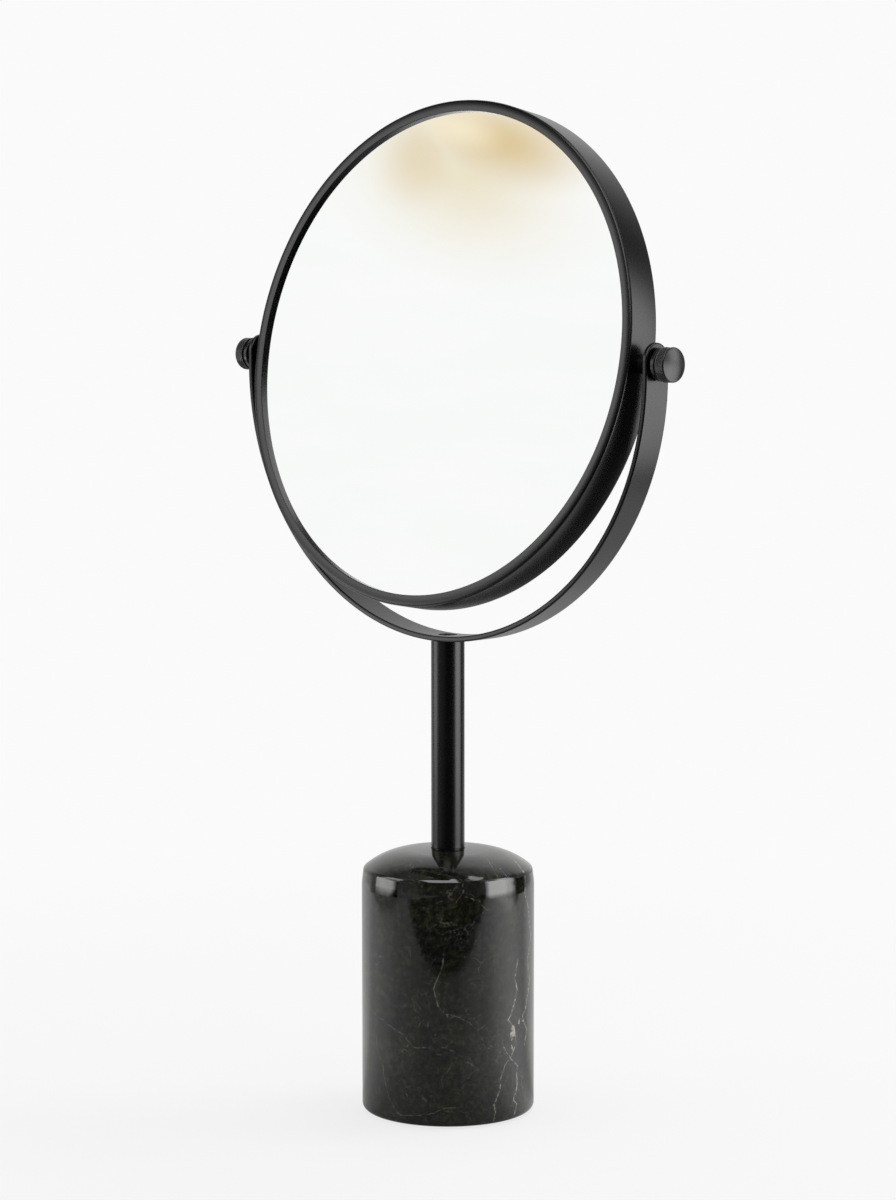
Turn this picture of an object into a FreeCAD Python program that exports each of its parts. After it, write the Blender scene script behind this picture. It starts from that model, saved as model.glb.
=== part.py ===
import FreeCAD, Part
import math
import os

from FreeCAD import Placement, Rotation, Vector

# A round two-sided table mirror, in millimetres. The glass hangs in a steel band that turns
# between the ends of a U-shaped yoke, and a tube carries the yoke on a turned stone base.
# +Z is up, X runs along the pivots, the front glass faces -Y, and the origin is on the
# surface that the base stands on, under the stem.

# Stone base
BASE_DIA = 86.0
BASE_HEIGHT = 132.3            # from the surface it stands on to the top of the dome
DOME_RADIUS = 300.0            # of its nearly flat middle
DOME_MIDDLE_DIA = 40.0
DOME_SHOULDER_RADIUS = 38.0    # of the rest, out to the edge
TAPER_HEIGHT = 7.1             # the top of the side, which leans in below the dome's edge
TAPER_ANGLE = 7.2              # degrees
TAPER_BEND = 30.0              # round where the taper starts
BASE_TOP_ROUND = 2.8
BASE_BOTTOM_ROUND = 3.0
STEM_SEAT_DEPTH = 1.5          # the spot face that the stem stands in, from the top of the dome
BORE_CLEARANCE = 1.0           # round the stud, in the drilled stone
NUT_RECESS_DIA = 30.0
NUT_RECESS_SPARE = 1.9         # from the stud's lower end to the pad

# Felt pad under the base
PAD_THICKNESS = 2.0
PAD_PROUD = 0.8                # how far it stands out under the stone
PAD_BORDER = 3.4               # flat stone left round it, inside the bottom round

# Stem
STEM_DIA = 16.6
STEM_WALL = 1.5
STEM_SHOWN = 104.0             # from the top of the dome to the underside of the yoke
PLUG_LENGTH = 20.0

# Stud, washers and nut that hold the base to the stem
STUD_DIA = 8.0
STUD_IN_PLUG = 18.0
STUD_PAST_NUT = 1.5
STUD_CHAMFER = 1.0
WASHER_DIA = 24.0
WASHER_THICKNESS = 2.0
SPRING_WASHER_DIA = 14.8
SPRING_WASHER_THICKNESS = 2.1
SPRING_WASHER_SLIT = 0.8
SPRING_WASHER_SLANT = 20.0     # degrees
NUT_ACROSS_FLATS = 13.0
NUT_THICKNESS = 6.5
NUT_CHAMFER = 0.8

# Yoke
YOKE_THICKNESS = 2.8
YOKE_WIDTH = 16.4
YOKE_GAP = 6.0                 # between the band and the yoke, at the pivots
YOKE_EDGE_ROUND = 0.9
NYLON_MARGIN = 0.2             # of straight arm past the washers, before the bend starts
END_RISE = 2.0                 # from the pivots to the centre of each rounded end

# Countersunk screw that holds the yoke to the stem
SCREW_DIA = 5.0
SCREW_LENGTH = 18.0
SCREW_HEAD_DIA = 9.4
SCREW_HEAD_RIM = 0.2
SCREW_SUNK = 0.05              # the head's face below the yoke's inner face
SOCKET_ACROSS_FLATS = 3.0
SOCKET_DEPTH = 1.8
SCREW_HOLE_SPARE = 2.0         # thread tapped past the screw's end
SCREW_CHAMFER = 0.6

# Mirror frame
FRAME_DIA = 250.0
FRAME_DEPTH = 19.6
FRAME_CORNER = 1.4
BAND_WALL = 3.0
BEZEL_WIDTH = 5.6              # seen round each glass
LIP_THICKNESS = 2.5
LIP_EDGE_ROUND = 0.4
LIP_CROWN = 0.36               # the front of the lip stands this far out of its two edges
LIP_CROWN_ROUND = 9.0
MIRROR_TILT = 10.2             # degrees that the top leans back, at rest
PIVOT_DROP = 1.6               # the pivots below the centre of the frame
PIVOT_SETBACK = 1.5            # the pivots behind the middle of the frame's depth

# Glass
FRONT_GLASS_THICKNESS = 4.0
REAR_GLASS_THICKNESS = 2.0
GLASS_EDGE_GAP = 0.3
DISH_GAP = 1.5                 # from the back of the front glass to the deepest of the rear one
SPACER_WIDTH = 8.0
SPACER_GAP = 0.5               # from the spacer to the band

# Pivot studs, sleeves and washers
PIVOT_DIA = 5.0
PIVOT_CHAMFER = 0.6
PIVOT_HEAD_SPREAD = 1.8        # how much wider the countersunk head is than the stud, all round
PIVOT_HEAD_RIM = 0.2
PIVOT_HEAD_SUNK = 0.2          # the head's face below the band's inner face
SLEEVE_DIA = 9.0
NYLON_DIA = 10.0
NYLON_THICKNESS = 0.8

# Knobs
KNOB_NECK_DIA = 11.0
KNOB_NECK_LENGTH = 1.0
KNOB_COLLAR_DIA = 15.8
KNOB_COLLAR_LENGTH = 2.1
KNOB_GROOVE_DEPTH = 0.6
KNOB_GROOVE_LENGTH = 0.9
KNOB_GRIP_DIA = 16.5
KNOB_GRIP_LENGTH = 6.1
KNOB_END_ROUND = 1.8
KNOB_EDGE_ROUND = 0.3
STUD_IN_KNOB = 7.2
KNOB_BORE_SPARE = 0.6          # past the stud's end

# Fits
SEAT_GAP = 0.02                # between pieces that are pressed or screwed home
THREAD_GAP = 0.05              # radial, between a plain thread and its hole
RUNNING_GAP = 0.10             # radial, where a stud turns or passes freely
LOOSE_GAP = 0.2                # radial, round the stem in its seat and the pad in its recess
SAME = 0.01                    # lengths closer than this count as equal

# Heights and places that follow from the sizes above
BASE_RADIUS = BASE_DIA / 2
DOME_JOIN = math.asin(DOME_MIDDLE_DIA / 2 / DOME_RADIUS)
SHOULDER_CENTRE_RADIUS = (DOME_RADIUS - DOME_SHOULDER_RADIUS) * math.sin(DOME_JOIN)
SHOULDER_CENTRE = BASE_HEIGHT - DOME_RADIUS + (DOME_RADIUS - DOME_SHOULDER_RADIUS) * math.cos(DOME_JOIN)
TAPER_SLOPE = math.tan(math.radians(TAPER_ANGLE))
DOME_EDGE_RADIUS = BASE_RADIUS - TAPER_HEIGHT * TAPER_SLOPE
DOME_EDGE = SHOULDER_CENTRE + math.sqrt(
    DOME_SHOULDER_RADIUS ** 2 - (DOME_EDGE_RADIUS - SHOULDER_CENTRE_RADIUS) ** 2
)
TAPER_START = DOME_EDGE - TAPER_HEIGHT
PAD_RECESS_RADIUS = BASE_RADIUS - BASE_BOTTOM_ROUND - PAD_BORDER
STEM_FOOT = BASE_HEIGHT - STEM_SEAT_DEPTH
YOKE_UNDERSIDE = BASE_HEIGHT + STEM_SHOWN
YOKE_RADIUS = FRAME_DIA / 2 + YOKE_GAP
YOKE_OUTER_RADIUS = YOKE_RADIUS + YOKE_THICKNESS
YOKE_CENTRE = YOKE_UNDERSIDE + YOKE_OUTER_RADIUS
PIVOT_HEIGHT = YOKE_CENTRE + NYLON_DIA / 2 + NYLON_MARGIN
NUT_BOTTOM = PAD_THICKNESS + NUT_RECESS_SPARE + STUD_PAST_NUT
NUT_RECESS_TOP = NUT_BOTTOM + NUT_THICKNESS + SPRING_WASHER_THICKNESS + WASHER_THICKNESS

FRAME_RADIUS = FRAME_DIA / 2
BAND_BORE = FRAME_RADIUS - BAND_WALL
LIP_RADIUS = FRAME_RADIUS - BEZEL_WIDTH
GLASS_RADIUS = BAND_BORE - GLASS_EDGE_GAP
FRONT_GLASS_BACK = LIP_THICKNESS + FRONT_GLASS_THICKNESS
REAR_GLASS_RIM = FRAME_DEPTH - LIP_THICKNESS
HOLLOW_DEPTH = REAR_GLASS_RIM - REAR_GLASS_THICKNESS - FRONT_GLASS_BACK
DISH_SAG = HOLLOW_DEPTH - DISH_GAP
DISH_RADIUS = (GLASS_RADIUS ** 2 + DISH_SAG ** 2) / (2 * DISH_SAG)
DISH_CENTRE = REAR_GLASS_RIM - DISH_SAG + DISH_RADIUS
PIVOT_DEPTH = FRAME_DEPTH / 2 + PIVOT_SETBACK
FRAME_AXIS = Vector(0, -PIVOT_DEPTH, PIVOT_DROP)

KNOB_FACE = YOKE_OUTER_RADIUS + NYLON_THICKNESS

UP = Vector(0, 0, 1)
BACK = Vector(0, 1, 0)


def corner_arc(before, corner, after, radius):
    """Points where a round of this radius starts, is halfway and ends at a corner."""
    to_before = (before - corner).normalize()
    to_after = (after - corner).normalize()
    half = to_before.getAngle(to_after) / 2
    centre = corner + (to_before + to_after).normalize() * (radius / math.sin(half))
    reach = radius / math.tan(half)
    middle = centre + (corner - centre).normalize() * radius
    return corner + to_before * reach, middle, corner + to_after * reach


def turned(outline, foot, direction):
    """A turned solid from (radius, height) or (radius, height, corner round) points."""
    points = [Vector(point[0], 0, point[1]) for point in outline]
    rounds = [point[2] if len(point) > 2 else 0 for point in outline]
    edges = []
    stations = []
    for i, corner in enumerate(points):
        if rounds[i]:
            before = points[i - 1]
            after = points[(i + 1) % len(points)]
            stations.append(corner_arc(before, corner, after, rounds[i]))
        else:
            stations.append((corner, None, corner))
    for i, (start, middle, end) in enumerate(stations):
        if middle:
            edges.append(Part.Arc(start, middle, end).toShape())
        edges.append(Part.makeLine(end, stations[(i + 1) % len(stations)][0]))
    solid = Part.Face(Part.Wire(edges)).revolve(Vector(0, 0, 0), UP, 360)
    solid.Placement = Placement(foot, Rotation(UP, direction))
    return solid


def tube(outer_radius, inner_radius, start, end, foot, direction):
    outline = [(inner_radius, start), (outer_radius, start), (outer_radius, end), (inner_radius, end)]
    return turned(outline, foot, direction)


def rod(radius, start, end, foot, direction):
    return Part.makeCylinder(radius, end - start, foot + direction * start, direction)


def chamfered_rod(radius, start, end, chamfer):
    return [
        (0, start),
        (radius - chamfer, start),
        (radius, start + chamfer),
        (radius, end - chamfer),
        (radius - chamfer, end),
        (0, end),
    ]


def hexagon(across_flats, start, end):
    corner_radius = across_flats / math.sqrt(3)
    corners = []
    for i in range(7):
        angle = math.radians(60 * i)
        corners.append(Vector(corner_radius * math.cos(angle), corner_radius * math.sin(angle), start))
    return Part.Face(Part.makePolygon(corners)).extrude(Vector(0, 0, end - start))


def yoke_outer_cylinder(growth):
    """The cylinder of the yoke's outer face, which the top of the stem is cut to."""
    radius = YOKE_OUTER_RADIUS + growth
    return rod(radius, -YOKE_WIDTH, YOKE_WIDTH, Vector(0, 0, YOKE_CENTRE), BACK)


# ---- Stone base ----

def on_circle(centre, height, radius, angle):
    """A point of an upright circle, in the plane of y = 0, at this angle from straight up."""
    return Vector(centre + radius * math.sin(angle), 0, height + radius * math.cos(angle))


def dome():
    """The turned shape that tops the stone: nearly flat in the middle, rounder to its edge."""
    end = math.radians(80)
    middle = [on_circle(0, BASE_HEIGHT - DOME_RADIUS, DOME_RADIUS, DOME_JOIN * k / 2) for k in range(3)]
    shoulder = [
        on_circle(SHOULDER_CENTRE_RADIUS, SHOULDER_CENTRE, DOME_SHOULDER_RADIUS, angle)
        for angle in (DOME_JOIN, (DOME_JOIN + end) / 2, end)
    ]
    rim_foot = Vector(shoulder[2].x, 0, 0)
    centre_foot = Vector(0, 0, 0)
    outline = [
        Part.Arc(*middle).toShape(),
        Part.Arc(*shoulder).toShape(),
        Part.makeLine(shoulder[2], rim_foot),
        Part.makeLine(rim_foot, centre_foot),
        Part.makeLine(centre_foot, middle[0]),
    ]
    return Part.Face(Part.Wire(outline)).revolve(Vector(0, 0, 0), UP, 360)


def marble_base():
    """Turned stone: a cylinder with a domed top, bored for the stud and recessed below."""
    foot = Vector(0, 0, 0)
    blank = turned(
        [
            (0, PAD_PROUD),
            (BASE_RADIUS, PAD_PROUD, BASE_BOTTOM_ROUND),
            (BASE_RADIUS, TAPER_START, TAPER_BEND),
            (BASE_RADIUS - (BASE_HEIGHT - TAPER_START) * TAPER_SLOPE, BASE_HEIGHT),
            (0, BASE_HEIGHT),
        ],
        foot,
        UP,
    )
    stone = blank.common(dome())
    wide_edges = [edge for edge in stone.Edges if edge.BoundBox.XLength > BASE_RADIUS]
    dome_edge = max(wide_edges, key=lambda edge: edge.BoundBox.ZMin)
    stone = stone.makeFillet(BASE_TOP_ROUND, [dome_edge])
    pad_recess = rod(PAD_RECESS_RADIUS, 0, PAD_THICKNESS, foot, UP)
    nut_recess = rod(NUT_RECESS_DIA / 2, 0, NUT_RECESS_TOP, foot, UP)
    bore = rod(STUD_DIA / 2 + BORE_CLEARANCE, 0, BASE_HEIGHT, foot, UP)
    stem_seat = rod(STEM_DIA / 2 + LOOSE_GAP, STEM_FOOT, BASE_HEIGHT, foot, UP)
    return stone.cut(pad_recess.fuse([nut_recess, bore, stem_seat]))


def base_pad():
    """A disc of felt, glued in its recess, that closes the nut's recess."""
    return rod(PAD_RECESS_RADIUS - LOOSE_GAP, 0, PAD_THICKNESS, Vector(0, 0, 0), UP)


def base_stud():
    """Threaded stud from the plug in the stem down through the stone."""
    top = STEM_FOOT + STUD_IN_PLUG
    outline = chamfered_rod(STUD_DIA / 2, NUT_BOTTOM - STUD_PAST_NUT, top, STUD_CHAMFER)
    return turned(outline, Vector(0, 0, 0), UP)


def base_washer():
    hole = STUD_DIA / 2 + LOOSE_GAP
    bottom = NUT_RECESS_TOP - WASHER_THICKNESS
    return tube(WASHER_DIA / 2, hole, bottom, NUT_RECESS_TOP, Vector(0, 0, 0), UP)


def base_spring_washer():
    """Split ring, shown pressed flat."""
    top = NUT_RECESS_TOP - WASHER_THICKNESS
    bottom = top - SPRING_WASHER_THICKNESS
    ring = tube(SPRING_WASHER_DIA / 2, STUD_DIA / 2 + LOOSE_GAP, bottom, top, Vector(0, 0, 0), UP)
    height = 3 * SPRING_WASHER_THICKNESS
    slit = Part.makeBox(SPRING_WASHER_DIA, SPRING_WASHER_SLIT, height)
    slit.translate(Vector(0, -SPRING_WASHER_SLIT / 2, -height / 2))
    slit.rotate(Vector(0, 0, 0), Vector(1, 0, 0), SPRING_WASHER_SLANT)
    slit.translate(Vector(0, 0, (top + bottom) / 2))
    return ring.cut(slit)


def base_nut():
    """Hexagonal nut, with its corners turned back at both faces."""
    top = NUT_BOTTOM + NUT_THICKNESS
    corner_radius = NUT_ACROSS_FLATS / math.sqrt(3)
    turned_back = turned(
        chamfered_rod(corner_radius, NUT_BOTTOM, top, NUT_CHAMFER),
        Vector(0, 0, 0),
        UP,
    )
    hole = rod(STUD_DIA / 2 + THREAD_GAP, 0, top, Vector(0, 0, 0), UP)
    return hexagon(NUT_ACROSS_FLATS, NUT_BOTTOM, top).common(turned_back).cut(hole)


# ---- Stem ----

def stem_tube():
    """Drawn tube, its top cut to the curve of the yoke."""
    blank = tube(STEM_DIA / 2, STEM_DIA / 2 - STEM_WALL, STEM_FOOT, YOKE_CENTRE, Vector(0, 0, 0), UP)
    return blank.cut(yoke_outer_cylinder(SEAT_GAP))


def plug_blank(bottom, top):
    """Solid plug that is a press fit in the tube."""
    return rod(STEM_DIA / 2 - STEM_WALL - SEAT_GAP, bottom, top, Vector(0, 0, 0), UP)


def stem_lower_plug():
    hole = rod(STUD_DIA / 2 + THREAD_GAP, STEM_FOOT, STEM_FOOT + PLUG_LENGTH, Vector(0, 0, 0), UP)
    return plug_blank(STEM_FOOT, STEM_FOOT + PLUG_LENGTH).cut(hole)


def stem_upper_plug():
    """Plug tapped for the yoke's screw, its top cut to the same curve as the tube's."""
    bottom = YOKE_UNDERSIDE - PLUG_LENGTH
    hole_depth = SCREW_LENGTH - YOKE_THICKNESS + SCREW_HOLE_SPARE
    hole = rod(SCREW_DIA / 2 + THREAD_GAP, YOKE_UNDERSIDE - hole_depth, YOKE_CENTRE, Vector(0, 0, 0), UP)
    coped = plug_blank(bottom, YOKE_CENTRE).cut(yoke_outer_cylinder(SEAT_GAP))
    return coped.cut(hole).cut(screw_blank(THREAD_GAP, YOKE_THICKNESS))


# ---- Yoke ----

def yoke():
    """Flat strip bent to a half circle, with straight rounded ends drilled for the pivots."""
    half_width = YOKE_WIDTH / 2
    end_height = PIVOT_HEIGHT + END_RISE
    outer = half_circle_and_arms(YOKE_OUTER_RADIUS, end_height + half_width)
    inner = half_circle_and_arms(YOKE_RADIUS, end_height + half_width)
    tips = [Part.makeLine(outer[i].Vertexes[0].Point, inner[i].Vertexes[0].Point) for i in (0, 2)]
    bend = Part.Face(Part.Wire(Part.__sortEdges__(outer + inner + tips)))
    strip = bend.extrude(BACK * YOKE_WIDTH)
    across = Vector(1, 0, 0)
    middle = Vector(-YOKE_OUTER_RADIUS, -half_width, 0)
    below_ends = Part.makeBox(2 * YOKE_OUTER_RADIUS, YOKE_WIDTH, end_height, middle)
    rounded_ends = rod(half_width, -YOKE_OUTER_RADIUS, YOKE_OUTER_RADIUS, Vector(0, 0, end_height), across)
    strip = strip.common(below_ends.fuse(rounded_ends)).removeSplitter()
    strip = strip.makeFillet(YOKE_EDGE_ROUND, [edge for edge in strip.Edges if not is_seam(edge)])
    pivot_holes = rod(
        PIVOT_DIA / 2 + RUNNING_GAP,
        -FRAME_DIA,
        FRAME_DIA,
        Vector(0, 0, PIVOT_HEIGHT),
        across,
    )
    return strip.cut(pivot_holes).cut(screw_blank(THREAD_GAP, YOKE_THICKNESS))


def half_circle_and_arms(radius, top):
    """Edges of one face of the bent strip: an arm, an arm and the half circle between them."""
    front = -YOKE_WIDTH / 2
    left = Vector(-radius, front, YOKE_CENTRE)
    right = Vector(radius, front, YOKE_CENTRE)
    bottom = Vector(0, front, YOKE_CENTRE - radius)
    return [
        Part.makeLine(Vector(-radius, front, top), left),
        Part.Arc(left, bottom, right).toShape(),
        Part.makeLine(Vector(radius, front, top), right),
    ]


def is_seam(edge):
    """Whether an edge runs straight across the strip, where two faces meet without a corner."""
    box = edge.BoundBox
    across_width = abs(box.YLength - YOKE_WIDTH) < SAME and box.XLength < SAME
    across_thickness = abs(box.XLength - YOKE_THICKNESS) < SAME and box.YLength < SAME
    return box.ZLength < SAME and (across_width or across_thickness)


def screw_blank(growth, headroom):
    """The countersunk screw's outer shape, or that of its hole, grown all round and above."""
    face = YOKE_UNDERSIDE + YOKE_THICKNESS - SCREW_SUNK
    head = SCREW_HEAD_DIA / 2 + growth
    shank = SCREW_DIA / 2 + growth
    cone_top = face - SCREW_HEAD_RIM
    outline = [
        (0, face - SCREW_LENGTH),
        (shank - SCREW_CHAMFER, face - SCREW_LENGTH),
        (shank, face - SCREW_LENGTH + SCREW_CHAMFER),
        (shank, cone_top - (head - shank)),
        (head, cone_top),
        (head, face + headroom),
        (0, face + headroom),
    ]
    return turned(outline, Vector(0, 0, 0), UP)


def yoke_screw():
    """Countersunk socket screw through the middle of the yoke into the upper plug."""
    face = YOKE_UNDERSIDE + YOKE_THICKNESS - SCREW_SUNK
    return screw_blank(0, 0).cut(hexagon(SOCKET_ACROSS_FLATS, face - SOCKET_DEPTH, face))


# ---- Mirror ----
# These pieces are made with the pivots' axis through the origin and the glass upright.
# tilted() then leans them back and lifts them to the pivots.

def tilted(shape):
    leaned = shape.copy()
    leaned.rotate(Vector(0, 0, 0), Vector(1, 0, 0), -MIRROR_TILT)
    leaned.translate(Vector(0, 0, PIVOT_HEIGHT))
    return leaned


def mirror_band():
    """Rolled steel hoop with rounded edges and a crowned lip that the front glass lies against.

    It is countersunk from inside for the pivot studs.
    """
    hoop = turned(
        [
            (LIP_RADIUS, LIP_CROWN, LIP_EDGE_ROUND),
            (FRAME_RADIUS - BEZEL_WIDTH / 2, 0, LIP_CROWN_ROUND),
            (FRAME_RADIUS, LIP_CROWN, FRAME_CORNER),
            (FRAME_RADIUS, FRAME_DEPTH, FRAME_CORNER),
            (BAND_BORE, FRAME_DEPTH),
            (BAND_BORE, LIP_THICKNESS),
            (LIP_RADIUS, LIP_THICKNESS),
        ],
        FRAME_AXIS,
        BACK,
    )
    return hoop.cut([stud_blank(side, THREAD_GAP, BAND_WALL) for side in (-1, 1)])


def rear_bezel():
    """Ring pressed into the back of the hoop, which keeps both glasses in."""
    outline = [
        (LIP_RADIUS, REAR_GLASS_RIM),
        (BAND_BORE - SEAT_GAP, REAR_GLASS_RIM),
        (BAND_BORE - SEAT_GAP, FRAME_DEPTH),
        (LIP_RADIUS, FRAME_DEPTH, LIP_EDGE_ROUND),
    ]
    return turned(outline, FRAME_AXIS, BACK)


def front_glass():
    return rod(GLASS_RADIUS, LIP_THICKNESS, FRONT_GLASS_BACK, FRAME_AXIS, BACK)


def dish_depth(radius, bend):
    """Depth in the frame, at a radius, of a face bent to the rear glass's centre."""
    return DISH_CENTRE - math.sqrt(bend ** 2 - radius ** 2)


def rear_glass():
    """Glass bent to a shallow dish, hollow side out, for a larger image."""
    front_bend = DISH_RADIUS + REAR_GLASS_THICKNESS
    half_way = GLASS_RADIUS / 2
    inside = [Vector(r, 0, dish_depth(r, front_bend)) for r in (0, half_way, GLASS_RADIUS)]
    outside = [Vector(r, 0, dish_depth(r, DISH_RADIUS)) for r in (GLASS_RADIUS, half_way, 0)]
    outline = Part.Wire(
        [
            Part.Arc(*inside).toShape(),
            Part.makeLine(inside[2], outside[0]),
            Part.Arc(*outside).toShape(),
            Part.makeLine(outside[2], inside[0]),
        ]
    )
    glass = Part.Face(outline).revolve(Vector(0, 0, 0), UP, 360)
    glass.Placement = Placement(FRAME_AXIS, Rotation(UP, BACK))
    return glass


def glass_spacer():
    """Ring of firm foam that holds the two glasses apart."""
    outer = BAND_BORE - SPACER_GAP
    inner = outer - SPACER_WIDTH
    front_bend = DISH_RADIUS + REAR_GLASS_THICKNESS
    outline = [
        (inner, FRONT_GLASS_BACK),
        (outer, FRONT_GLASS_BACK),
        (outer, dish_depth(outer, front_bend) - SEAT_GAP),
        (inner, dish_depth(inner, front_bend) - SEAT_GAP),
    ]
    return turned(outline, FRAME_AXIS, BACK)


# ---- Pivots and knobs, alike at both ends: side is 1 on the right and -1 on the left ----

def stud_blank(side, growth, headroom):
    """The pivot stud's outer shape, or that of its hole, grown all round and at the head."""
    shank = PIVOT_DIA / 2 + growth
    head = shank + PIVOT_HEAD_SPREAD
    head_face = BAND_BORE + PIVOT_HEAD_SUNK
    end = KNOB_FACE + STUD_IN_KNOB
    outline = [
        (0, head_face - headroom),
        (head, head_face - headroom),
        (head, head_face + PIVOT_HEAD_RIM),
        (shank, head_face + PIVOT_HEAD_RIM + PIVOT_HEAD_SPREAD),
        (shank, end - PIVOT_CHAMFER),
        (shank - PIVOT_CHAMFER, end),
        (0, end),
    ]
    return turned(outline, Vector(0, 0, 0), Vector(side, 0, 0))


def pivot_stud(side):
    """Countersunk stud through the hoop from inside, threaded to its outer end."""
    return stud_blank(side, 0, 0)


def pivot_sleeve(side):
    """Threaded sleeve that clamps the hoop to the stud's head, cut to the hoop's curve."""
    bore = PIVOT_DIA / 2 + THREAD_GAP
    end = YOKE_RADIUS - NYLON_THICKNESS
    blank = tube(SLEEVE_DIA / 2, bore, BAND_BORE, end, Vector(0, 0, 0), Vector(side, 0, 0))
    hoop = rod(FRAME_RADIUS + SEAT_GAP, -FRAME_DEPTH, 2 * FRAME_DEPTH, FRAME_AXIS, BACK)
    return blank.cut(hoop)


def inner_washer(side):
    """Nylon washer between the sleeve and the yoke, which the mirror turns against."""
    hole = PIVOT_DIA / 2 + RUNNING_GAP
    face = YOKE_RADIUS - NYLON_THICKNESS
    return tube(NYLON_DIA / 2, hole, face, YOKE_RADIUS, Vector(0, 0, 0), Vector(side, 0, 0))


def outer_washer(side):
    """Nylon washer between the yoke and the knob."""
    hole = PIVOT_DIA / 2 + RUNNING_GAP
    return tube(NYLON_DIA / 2, hole, YOKE_OUTER_RADIUS, KNOB_FACE, Vector(0, 0, 0), Vector(side, 0, 0))


def knob(side):
    """Turned knob: a neck, a plain collar, a groove and a knurled grip, with a blind thread."""
    collar = KNOB_COLLAR_DIA / 2
    grip = KNOB_GRIP_DIA / 2
    groove = collar - KNOB_GROOVE_DEPTH
    collar_start = KNOB_FACE + KNOB_NECK_LENGTH
    groove_start = collar_start + KNOB_COLLAR_LENGTH
    grip_start = groove_start + KNOB_GROOVE_LENGTH
    end = grip_start + KNOB_GRIP_LENGTH
    outline = [
        (0, KNOB_FACE),
        (KNOB_NECK_DIA / 2, KNOB_FACE),
        (KNOB_NECK_DIA / 2, collar_start),
        (collar, collar_start, KNOB_EDGE_ROUND),
        (collar, groove_start, KNOB_EDGE_ROUND),
        (groove, groove_start),
        (groove, grip_start),
        (grip, grip_start, KNOB_EDGE_ROUND),
        (grip, end, KNOB_END_ROUND),
        (0, end),
    ]
    out = Vector(side, 0, 0)
    bore_end = KNOB_FACE + STUD_IN_KNOB + KNOB_BORE_SPARE
    bore = rod(PIVOT_DIA / 2 + THREAD_GAP, YOKE_OUTER_RADIUS, bore_end, Vector(0, 0, 0), out)
    return turned(outline, Vector(0, 0, 0), out).cut(bore)


def pieces():
    """Every piece of the mirror by its name."""
    made = {
        "marble_base": marble_base(),
        "base_pad": base_pad(),
        "base_stud": base_stud(),
        "base_washer": base_washer(),
        "base_spring_washer": base_spring_washer(),
        "base_nut": base_nut(),
        "stem_tube": stem_tube(),
        "stem_lower_plug": stem_lower_plug(),
        "stem_upper_plug": stem_upper_plug(),
        "yoke": yoke(),
        "yoke_screw": yoke_screw(),
    }
    for make in (mirror_band, rear_bezel, front_glass, rear_glass, glass_spacer):
        made[make.__name__] = tilted(make())
    for make in (pivot_stud, pivot_sleeve, inner_washer, outer_washer, knob):
        made[make.__name__ + "_left"] = tilted(make(-1))
        made[make.__name__ + "_right"] = tilted(make(1))
    return made


os.makedirs("parts", exist_ok=True)
for name, shape in pieces().items():
    shape.exportStep("parts/" + name + ".step")
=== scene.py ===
import math

import bmesh
import bpy
from mathutils import Matrix, Vector


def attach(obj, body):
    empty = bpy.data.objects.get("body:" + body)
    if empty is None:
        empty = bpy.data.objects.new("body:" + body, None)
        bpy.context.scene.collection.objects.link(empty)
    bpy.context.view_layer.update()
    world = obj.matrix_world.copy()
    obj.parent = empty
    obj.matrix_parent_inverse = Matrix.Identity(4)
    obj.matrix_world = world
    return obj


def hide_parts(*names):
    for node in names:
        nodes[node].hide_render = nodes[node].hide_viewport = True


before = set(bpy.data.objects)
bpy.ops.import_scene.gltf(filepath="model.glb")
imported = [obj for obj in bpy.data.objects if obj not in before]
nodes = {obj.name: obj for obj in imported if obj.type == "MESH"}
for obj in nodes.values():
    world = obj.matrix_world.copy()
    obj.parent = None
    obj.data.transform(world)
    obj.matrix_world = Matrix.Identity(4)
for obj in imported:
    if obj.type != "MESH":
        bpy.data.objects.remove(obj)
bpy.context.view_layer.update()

# ---- Stone base ----
# A turned and polished block of near-black marble. Its pale veins are thin bent sheets that run
# through the whole block, so each one crosses the side and the dome without a break.


def grey(level):
    return (level, level, level, 1.0)


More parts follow.
